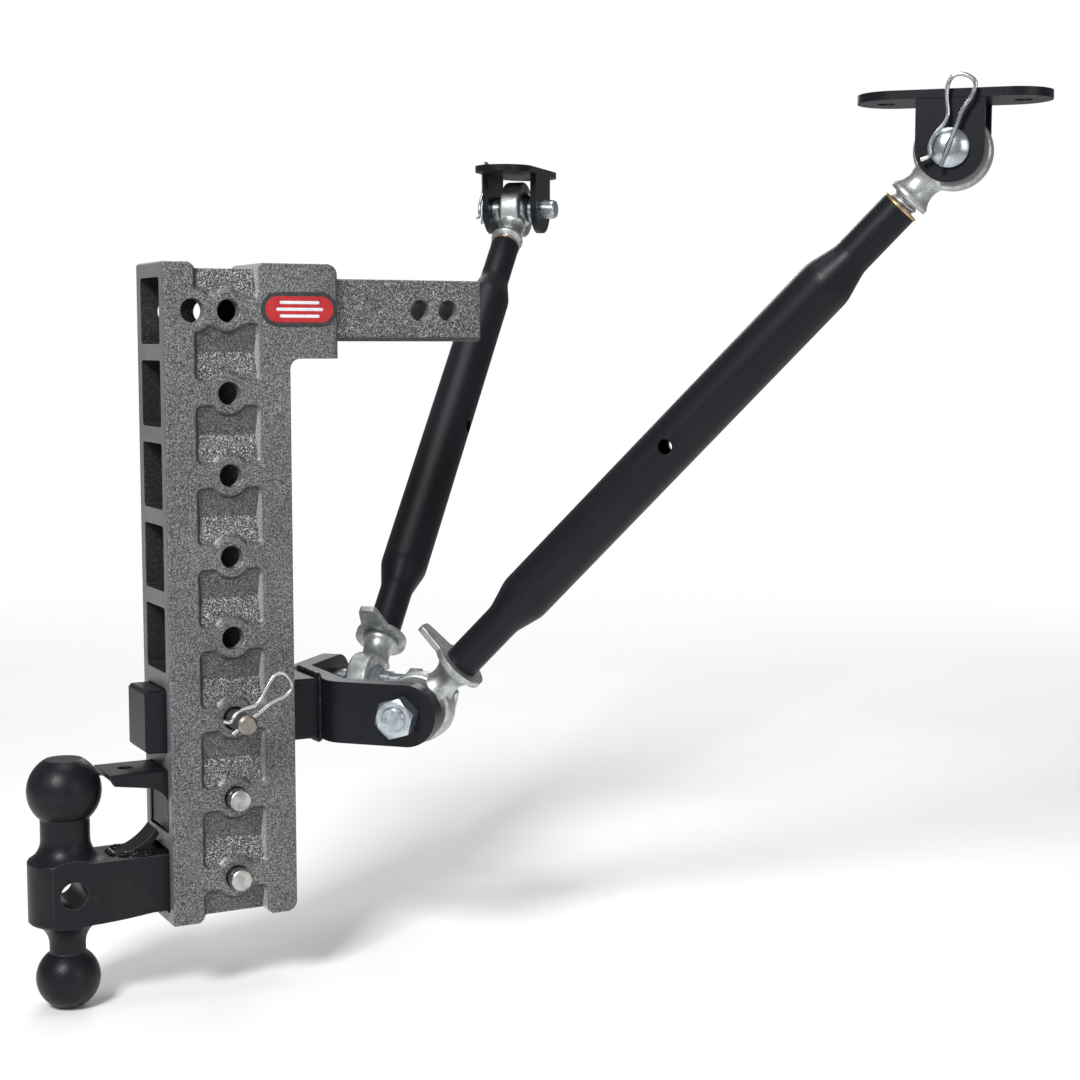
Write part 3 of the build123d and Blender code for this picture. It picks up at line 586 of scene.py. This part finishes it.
def axis_frame(direction, hint=UP):
    """Two unit vectors across a direction, the first as near to hint as can be."""
    along = Vector(direction).normalized()
    across = (hint - hint.dot(along) * along).normalized()
    return across, along.cross(across)


def turned(bm, origin, direction, radius_at, stations, segments, hint):
    """Rings round an axis: radius_at(angle, station) gives each vertex's radius and height."""
    across, side = axis_frame(direction, hint)
    along = Vector(direction).normalized()
    rings = []
    for station in stations:
        ring = []
        for step in range(segments):
            angle = 2 * math.pi * step / segments
            radius, height = radius_at(angle, station)
            outward = across * math.cos(angle) + side * math.sin(angle)
            ring.append(bm.verts.new(origin + along * height + outward * radius))
        rings.append(ring)
    return rings


def threaded_rod(bm, origin, direction, length, major, pitch, depth, hint=UP):
    """A rod with a helical thread, and a taper over its last turn."""
    steps = max(2, round(length / pitch * THREAD_SAMPLES))

    def radius_at(angle, height):
        phase = (height / pitch - angle / (2 * math.pi)) % 1.0
        ridge = 1.0 - abs(2.0 * phase - 1.0)
        crest = min(1.0, max(0.0, ridge * THREAD_STEEPNESS - THREAD_ROOT))
        end = min(1.0, (length - height) / pitch)
        left = THREAD_END_CREST + (1 - THREAD_END_CREST) * end
        return major - depth + depth * crest * left, height

    stations = [length * step / steps for step in range(steps + 1)]
    skin_rings(bm, turned(bm, origin, direction, radius_at, stations, THREAD_SEGMENTS, hint))


def hexagon(bm, origin, direction, across_flats, height, hint, bore=0.0, both_ends=False):
    """A hexagon head or nut with its corners chamfered by a cone, and a bore if asked."""
    chamfer_start = across_flats / 2 * HEX_CHAMFER_START
    slope = math.tan(math.radians(HEX_CHAMFER_ANGLE))

    def flat_radius(angle):
        off_flat = (angle + math.pi / 6) % (math.pi / 3) - math.pi / 6
        return across_flats / 2 / math.cos(off_flat)

    def radius_at(angle, station):
        level, kind = station
        corner = flat_radius(angle)
        drop = (corner - chamfer_start) * slope
        if kind == "bore":
            return bore, level
        if kind == "disc":
            return chamfer_start, level
        sign = 1 if kind == "top" else -1
        return corner, level - sign * (drop if both_ends or kind == "top" else HEX_RIM_DROP)

    stations = [(0.0, "disc"), (0.0, "bottom"), (height, "top"), (height, "disc")]
    if bore:
        stations = [(0.0, "bore"), *stations, (height, "bore")]
    rings = turned(bm, origin, direction, radius_at, stations, HEX_SEGMENTS, hint)
    skin_rings(bm, rings, closed=bool(bore))


def sweep(bm, points, radius_at, segments=10, closed=False, squash=1.0, hint=UP):
    """A round section along points; radius_at(index) sets its size and squash flattens it along hint."""
    rings = []
    count = len(points)
    for index, point in enumerate(points):
        before = points[(index - 1) % count] if closed or index else points[index]
        after = points[(index + 1) % count] if closed or index < count - 1 else points[index]
        across, side = axis_frame(after - before, hint)
        radius = radius_at(index)
        ring = []
        for step in range(segments):
            angle = 2 * math.pi * step / segments
            raised = point + across * math.cos(angle) * radius * squash
            ring.append(bm.verts.new(raised + side * math.sin(angle) * radius))
        rings.append(ring)
    skin_rings(bm, rings, closed)


def along_path(corners, spacing, closed=False):
    """Evenly spaced points along straight runs between corners."""
    corners = [Vector(corner) for corner in corners]
    if closed:
        corners.append(corners[0])
    points = []
    for start, end in zip(corners, corners[1:]):
        steps = max(1, round((end - start).length / spacing))
        points += [start.lerp(end, step / steps) for step in range(steps)]
    if not closed:
        points.append(corners[-1])
    return points


def weld_bead(name, corners, radius, body, material, closed=False, hint=UP):
    """A hand-laid weld: overlapping ripples of uneven size along a path."""
    bm = bmesh.new()
    points = along_path(corners, BEAD_SPACING, closed)
    wobble = [rng.uniform(-1, 1) for _ in points]

    def radius_at(index):
        near = sum(wobble[(index + shift) % len(wobble)] for shift in range(-2, 3)) / 5
        scallop = abs(math.sin(math.pi * index * BEAD_SPACING / BEAD_RIPPLE))
        from_end = min(index, len(points) - 1 - index)
        fade = 1.0 if closed else min(1.0, BEAD_END_SIZE + from_end * BEAD_END_GROWTH)
        return radius * fade * (1 - BEAD_SCALLOP + BEAD_SCALLOP * scallop + BEAD_WOBBLE * near)

    sweep(bm, points, radius_at, 12, closed, BEAD_SQUASH, hint)
    piece = mesh_piece(name, bm, material, 60)
    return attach(piece, body)


# ---- badge ----------------------------------------------------------------

BADGE_WIDTH = 64 * MM
BADGE_HEIGHT = 27 * MM
BADGE_GAP = 1.5 * MM  # between the badge and the shank
BADGE_EDGE = 6 * MM  # taken off the field's width and height, so half of it shows on each side
BADGE_SOFTEN = 0.3 * MM
BAR_PITCH = 5.4 * MM
BAR_HEIGHT = 2.6 * MM
BAR_LONG = 40 * MM
BAR_SHORT = 34 * MM

badge_black = enamel("badge_black", (0.010, 0.010, 0.011), 0.25)
badge_red = enamel("badge_red", (0.42, 0.004, 0.007), 0.34)
badge_pale = enamel("badge_pale", (0.70, 0.71, 0.74), 0.30)
shank_low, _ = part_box("receiver_shank")
badge_centre = Vector((shank_low.x - BADGE_WIDTH / 2 - BADGE_GAP, frame_low.y, 0.0))


def stadium(bm, centre, width, height, low, high, segments=24):
    """A flat pill-shaped plate in the XZ plane, from depth low to high along -Y."""
    radius = height / 2
    offset = width / 2 - radius
    outline = []
    for side in (1, -1):
        for step in range(segments + 1):
            angle = side * (math.pi * step / segments - math.pi / 2)
            outline.append((side * (offset + radius * math.cos(angle)), radius * math.sin(angle)))
    rings = []
    for depth, inset in ((low, 0), (high - BADGE_SOFTEN, 0), (high, BADGE_SOFTEN)):
        shrink_x = (width / 2 - inset) / (width / 2)
        shrink_z = (height / 2 - inset) / (height / 2)
        offsets = [Vector((x * shrink_x, -depth, z * shrink_z)) for x, z in outline]
        rings.append([bm.verts.new(centre + place) for place in offsets])
    skin_rings(bm, rings)


def build_badge():
    """A plain pill-shaped badge: black edge, red field and three pale bars."""
    field_width = BADGE_WIDTH - BADGE_EDGE
    field_height = BADGE_HEIGHT - BADGE_EDGE
    # Each layer's size, the depths it runs between, and its finish.
    layers = (
        ("badge_base", BADGE_WIDTH, BADGE_HEIGHT, 0.0, 1.0 * MM, badge_black),
        ("badge_field", field_width, field_height, 0.9 * MM, 1.25 * MM, badge_red),
    )
    for name, width, height, low, high, material in layers:
        bm = bmesh.new()
        stadium(bm, badge_centre, width, height, low, high)
        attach(mesh_piece(name, bm, material), "hitch")
    bm = bmesh.new()
    for rise, width in ((BAR_PITCH, BAR_SHORT), (0.0, BAR_LONG), (-BAR_PITCH, BAR_SHORT)):
        stadium(bm, badge_centre + UP * rise, width, BAR_HEIGHT, 1.2 * MM, 1.5 * MM, 8)
    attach(mesh_piece("badge_bars", bm, badge_pale), "hitch")


build_badge()

# ---- welds ----------------------------------------------------------------

STRAP_START_INSET = 2 * MM
STRAP_END_INSET = 4 * MM
SEAT_LIFT = 0.6 * MM
EDGE_BEAD_OUT = 1.0 * MM
EDGE_BEAD_R = 3.6 * MM
OUTER_BEAD_OUT = 5.2 * MM
OUTER_BEAD_DROP = 1.2 * MM
OUTER_BEAD_R = 3.2 * MM
OUTER_BEAD_START = 6 * MM
OUTER_BEAD_END = 3 * MM
FOOT_BEAD_BACK = 3 * MM
FOOT_BEAD_SHARE = 0.9  # of the strap's width
FOOT_BEAD_R = 2.8 * MM
STUB_CORNER = 4 * MM
STUB_CORNER_STEPS = 4
STUB_BEAD_OUT = 1.0 * MM
STUB_BEAD_R = 3.0 * MM

strap_low, strap_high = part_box("curved_strap")
bar_low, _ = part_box("bent_bar")
stub_low, stub_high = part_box("stabiliser_stub")


def stub_outline():
    """The square with rounded corners that the stub makes where it meets the bent bar."""
    reach = (stub_high.y - stub_low.y) / 2
    middle_z = (stub_low.z + stub_high.z) / 2
    to_corner = (reach - STUB_CORNER) * math.sqrt(2)
    outline = []
    for turn in range(4):
        toward = math.radians(90 * turn + 45)
        centre = Vector((0, math.cos(toward), math.sin(toward))) * to_corner
        for swing in range(STUB_CORNER_STEPS + 1):
            angle = math.radians(90 * turn + 90 / STUB_CORNER_STEPS * swing)
            outward = Vector((0, math.cos(angle), math.sin(angle)))
            point = centre + outward * (STUB_CORNER + STUB_BEAD_OUT)
            outline.append((bar_low.x - STUB_BEAD_OUT, point.y, middle_z + point.z))
    return outline


def build_welds():
    """Beads along the curved strap's edges and foot, and round the stub where it meets the bent bar."""
    seat = strap_low.z + SEAT_LIFT
    low_seat = seat - OUTER_BEAD_DROP
    start = strap_low.x + STRAP_START_INSET
    end = strap_high.x - STRAP_END_INSET
    for label, side in SIDES.items():
        edge = side * (strap_high.y + EDGE_BEAD_OUT)
        outer = side * (strap_high.y + OUTER_BEAD_OUT)
        edge_path = [(start, edge, seat), (end, edge, seat)]
        outer_path = [(start + OUTER_BEAD_START, outer, low_seat), (end - OUTER_BEAD_END, outer, low_seat)]
        weld_bead(f"strap_weld_{label}", edge_path, EDGE_BEAD_R, "hitch", weld_black)
        weld_bead(f"strap_weld_{label}_outer", outer_path, OUTER_BEAD_R, "hitch", weld_black)
    foot = start - FOOT_BEAD_BACK
    half = strap_high.y * FOOT_BEAD_SHARE
    weld_bead("strap_weld_foot", [(foot, -half, seat), (foot, half, seat)], FOOT_BEAD_R, "hitch", weld_black)
    weld_bead("stub_weld", stub_outline(), STUB_BEAD_R, "hitch", weld_black, True, Vector((1, 0, 0)))


build_welds()

# ---- bolts, nuts, stems and clips -----------------------------------------

BOLT_ACROSS_FLATS = 30 * MM
BOLT_R = 10 * MM
BOLT_THREAD_R = BOLT_R - 0.05 * MM
BOLT_PITCH = 2.5 * MM
BOLT_THREAD_DEPTH = 1.3 * MM
NUT_BORE_R = BOLT_R + 0.02 * MM
HEAD_OFFSET = 40 * MM
HEAD_THICKNESS = 12.5 * MM
EAR_FAR = -44 * MM
NUT_THICKNESS = 16 * MM
THREAD_STICKOUT = 4 * MM
STEM_R = 11 * MM
STEM_REACH = 172 * MM
STEM_PITCH = 5 * MM
STEM_THREAD_DEPTH = 1.5 * MM
STEM_OVERLAP = 1 * MM  # how far the thread starts inside the forging
SHOULDER_AT = 48 * MM
SHOULDER_MARGIN = 0.2 * MM
STUB_PIN_R = 7.95 * MM
WIRE_R = 1.6 * MM
WIRE_GAP = 0.4 * MM  # between the waved leg and the pin it rides on
DIAGONAL = math.sqrt(0.5)


def smooth_wire(name, controls, body, node_name, material):
    """A round wire along a smooth spline, which stands for the CAD clip."""
    curve = bpy.data.curves.new(name, "CURVE")
    curve.dimensions = "3D"
    spline = curve.splines.new("NURBS")
    spline.points.add(len(controls) - 1)
    for point, place in zip(spline.points, controls):
        point.co = (*place, 1.0)
    spline.order_u = 3
    spline.use_endpoint_u = True
    spline.resolution_u = 10
    curve.bevel_depth = WIRE_R
    curve.bevel_resolution = 4
    curve.use_fill_caps = True
    maker = bpy.data.objects.new(name, curve)
    bpy.context.scene.collection.objects.link(maker)
    bpy.context.view_layer.update()
    graph = bpy.context.evaluated_depsgraph_get()
    mesh = bpy.data.meshes.new_from_object(maker.evaluated_get(graph))
    bpy.data.objects.remove(maker)
    piece = bpy.data.objects.new(name, mesh)
    bpy.context.scene.collection.objects.link(piece)
    for polygon in mesh.polygons:
        polygon.use_smooth = True
    dress(piece, material)
    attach(piece, body)
    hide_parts(node_name)
    return piece


def hairpin(name, centre, leg, rise, pin_r, body, node_name):
    """A hairpin clip: one leg through the pin, a round eye beyond it, and a leg waved over the pin."""
    ride = pin_r + WIRE_R + WIRE_GAP
    # Spline controls, as (along the leg, above it): the straight leg, the eye, then the waved leg.
    outline = (
        (-pin_r - 5 * MM, 0),
        (-pin_r, 0),
        (pin_r + 10 * MM, 0),
        (pin_r + 20 * MM, 0),
        (pin_r + 31 * MM, -3.5 * MM),
        (pin_r + 41 * MM, -2 * MM),
        (pin_r + 42 * MM, 12 * MM),
        (pin_r + 35 * MM, 17 * MM),
        (pin_r + 24 * MM, ride + 3 * MM),
        (pin_r + 9 * MM, ride * 0.55),
        (pin_r * 0.5, ride + 1.2 * MM),
        (-pin_r * 0.5, ride + 1.2 * MM),
        (-pin_r - 1 * MM, ride * 0.75),
        (-pin_r - 5 * MM, ride + 3.5 * MM),
    )
    controls = [centre + leg * along + rise * up for along, up in outline]
    smooth_wire(name, controls, body, node_name, wire_steel)


def cad_copy(node_name, cut_place, cut_normal):
    """A CAD node's mesh as a new bmesh, with everything beyond a plane cut away and closed."""
    bm = bmesh.new()
    bm.from_mesh(nodes[node_name].data)
    bmesh.ops.remove_doubles(bm, verts=bm.verts, dist=1e-6)
    everything = list(bm.verts) + list(bm.edges) + list(bm.faces)
    bmesh.ops.bisect_plane(
        bm, geom=everything, plane_co=cut_place, plane_no=cut_normal, clear_outer=True, dist=1e-7
    )
    bmesh.ops.holes_fill(bm, edges=[edge for edge in bm.edges if edge.is_boundary], sides=0)
    return bm


def fit_bolt(side, eye, inward, arm):
    """A hexagon bolt and nut with a threaded end through the bent bar's ears."""
    bm = bmesh.new()
    hexagon(bm, eye + inward * HEAD_OFFSET, inward, BOLT_ACROSS_FLATS, HEAD_THICKNESS, arm)
    thread_start = eye + inward * (EAR_FAR - NUT_THICKNESS * 0.5)
    thread_length = NUT_THICKNESS * 0.5 + THREAD_STICKOUT
    threaded_rod(bm, thread_start, -inward, thread_length, BOLT_THREAD_R, BOLT_PITCH, BOLT_THREAD_DEPTH)
    bolt = mesh_piece(f"{side}_hex_bolt", bm, bright_zinc, 30)
    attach(bolt, "hitch")
    bm = bmesh.new()
    nut_face = eye + inward * EAR_FAR
    hexagon(bm, nut_face, -inward, BOLT_ACROSS_FLATS, NUT_THICKNESS, arm, NUT_BORE_R, True)
    nut = mesh_piece(f"{side}_hex_nut", bm, bright_zinc, 30)
    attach(nut, "hitch")
    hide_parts(f"{side}_pivot_bolt")
    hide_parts(f"{side}_pivot_nut")


def fit_stems(side, eye, top, inward, arm):
    """Both ball ends, each with its plain stem cut off at the shoulder and a threaded one in its place."""
    for label, place, direction in (("lower", eye, arm), ("upper", top, -arm)):
        cut = place + direction * (SHOULDER_AT + SHOULDER_MARGIN)
        bm = cad_copy(f"{side}_{label}_ball_end", cut, direction)
        threaded_rod(
            bm,
            place + direction * (SHOULDER_AT - STEM_OVERLAP),
            direction,
            STEM_REACH - SHOULDER_AT + STEM_OVERLAP,
            STEM_R,
            STEM_PITCH,
            STEM_THREAD_DEPTH,
            inward,
        )
        forging = mesh_piece(f"{side}_{label}_forging", bm, forged_zinc, 30)
        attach(forging, f"{side}_{label}_end")
        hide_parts(f"{side}_{label}_ball_end")


def fit_clip(side, top, inward):
    """A bent-wire clip through the clevis pin, waved towards the side where the CAD clip lies."""
    leg = Vector(joints[f"{side}_clip_pull"]["axis"]).normalized()
    clip_low, clip_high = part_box(f"{side}_clevis_clip")
    clip_middle = (clip_low + clip_high) / 2
    centre = top + inward * (clip_middle - top).dot(inward)
    rise = leg.cross(inward) if leg.cross(inward).dot(clip_middle - centre) > 0 else inward.cross(leg)
    hairpin(f"{side}_wire_clip", centre, leg, rise, BOLT_R, f"{side}_clip", f"{side}_clevis_clip")


def finish_arm(side, sign):
    """Chamfered and threaded fasteners, threaded stems and a bent-wire clip on one arm."""
    eye = Vector(joints[f"{side}_arm_swing"]["pos_m"])
    top = Vector(joints[f"{side}_clevis_swing"]["pos_m"])
    arm = Vector(joints[f"{side}_tube_turn"]["axis"]).normalized()
    inward = Vector((DIAGONAL, -sign * DIAGONAL, 0))
    fit_bolt(side, eye, inward, arm)
    fit_stems(side, eye, top, inward, arm)
    fit_clip(side, top, inward)


for side, sign in SIDES.items():
    finish_arm(side, sign)

stub_pin_low, stub_pin_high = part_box("stub_pin")
stub_clip_low, stub_clip_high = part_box("stub_pin_clip")
clip_leg = Vector(joints["stub_clip_pull"]["axis"]).normalized()
clip_centre = (stub_pin_low + stub_pin_high) / 2
clip_centre.y = (stub_clip_low.y + stub_clip_high.y) / 2
clip_rise = Vector((-clip_leg.z, 0, clip_leg.x))
if clip_rise.dot((stub_clip_low + stub_clip_high) / 2 - clip_centre) < 0:
    clip_rise = -clip_rise
hairpin("stub_wire_clip", clip_centre, clip_leg, clip_rise, STUB_PIN_R, "stub_pin_clip", "stub_pin_clip")

# ---- stage ----------------------------------------------------------------

FLOOR_RADIUS = 6.0
FLOOR_FADE_START = 0.8
FLOOR_FADE_END = FLOOR_RADIUS * 0.45
FLOOR_TONES = ((0.3, 0.86), (0.7, 0.90))
PALE = 1.0
SURROUND_STRENGTH = 0.24

# Area lights aimed at the object: where each stands, its side and its power in watts.
LIGHTS = {
    "key": ((-1.9, -1.7, 1.7), 0.8, 105),
    "front_fill": ((0.9, -2.6, 0.5), 1.4, 14),
    "top": ((0.0, 0.2, 2.4), 1.4, 26),
    "back_fill": ((1.2, 2.4, 1.2), 1.4, 26),
}


def build_floor():
    """A round pale floor that fades into the pale surroundings."""
    mesh = bpy.data.meshes.new("floor")
    bm = bmesh.new()
    bmesh.ops.create_circle(bm, cap_ends=True, segments=96, radius=FLOOR_RADIUS)
    bm.to_mesh(mesh)
    bm.free()
    floor = bpy.data.objects.new("floor", mesh)
    bpy.context.scene.collection.objects.link(floor)
    floor.location = (middle.x, middle.y, cad_low.z)
    material, tree, shader = new_material("pale_floor", Roughness=0.85)
    coords = object_coords(tree)
    connect(tree, shader, Base_Color=grey_ramp(tree, noise(tree, coords, 0.4, detail=3.0), FLOOR_TONES))
    distance = node(tree, "ShaderNodeVectorMath", {0: coords}, operation="LENGTH").outputs["Value"]
    fade = map_range(tree, distance, FLOOR_FADE_START, FLOOR_FADE_END)
    clear = node(tree, "ShaderNodeBsdfTransparent")
    blend = node(
        tree, "ShaderNodeMixShader", {0: fade, 1: shader.outputs["BSDF"], 2: clear.outputs["BSDF"]}
    )
    tree.links.new(blend.outputs[0], tree.nodes["Material Output"].inputs["Surface"])
    dress(floor, material)


def build_surroundings(strength):
    """A pale surround: plain white where it is seen directly, dimmer as a light on the object."""
    world = bpy.data.worlds.new("surroundings")
    bpy.context.scene.world = world
    world.use_nodes = True
    tree = world.node_tree
    background = tree.nodes["Background"]
    background.inputs["Color"].default_value = grey(PALE)
    seen = node(tree, "ShaderNodeLightPath").outputs["Is Camera Ray"]
    level = map_range(tree, seen, 0.0, 1.0, strength, 1.0)
    tree.links.new(level, background.inputs["Strength"])


def softbox(name, place, aim, size, watts):
    """A large square area light at place that faces aim."""
    light = bpy.data.lights.new(name, "AREA")
    light.shape = "RECTANGLE"
    light.size = size
    light.size_y = size
    light.energy = watts
    lamp = bpy.data.objects.new(name, light)
    bpy.context.scene.collection.objects.link(lamp)
    lamp.location = place
    lamp.rotation_mode = "QUATERNION"
    lamp.rotation_quaternion = (Vector(aim) - Vector(place)).to_track_quat("-Z", "Y")


middle = (cad_low + cad_high) / 2
build_floor()
build_surroundings(SURROUND_STRENGTH)
for name, (place, size, watts) in LIGHTS.items():
    softbox(name, place, middle, size, watts)
bpy.context.scene.view_settings.view_transform = "Standard"

# ---- camera ---------------------------------------------------------------

EYE = Vector((-0.6695, -1.5267, -0.0279))
AIM = Vector((0.089, -0.0706, -0.1921))
LENS = 65.2
SENSOR = 36.0


def build_camera():
    """A camera that looks at the hitch from its right rear, from a little above its middle."""
    data = bpy.data.cameras.new("camera")
    data.lens = LENS
    data.sensor_width = SENSOR
    camera = bpy.data.objects.new("camera", data)
    bpy.context.scene.collection.objects.link(camera)
    camera.location = EYE
    camera.rotation_mode = "QUATERNION"
    camera.rotation_quaternion = (AIM - EYE).to_track_quat("-Z", "Y")
    data.clip_start = 0.05
    data.clip_end = 50.0
    bpy.context.scene.camera = camera


build_camera()
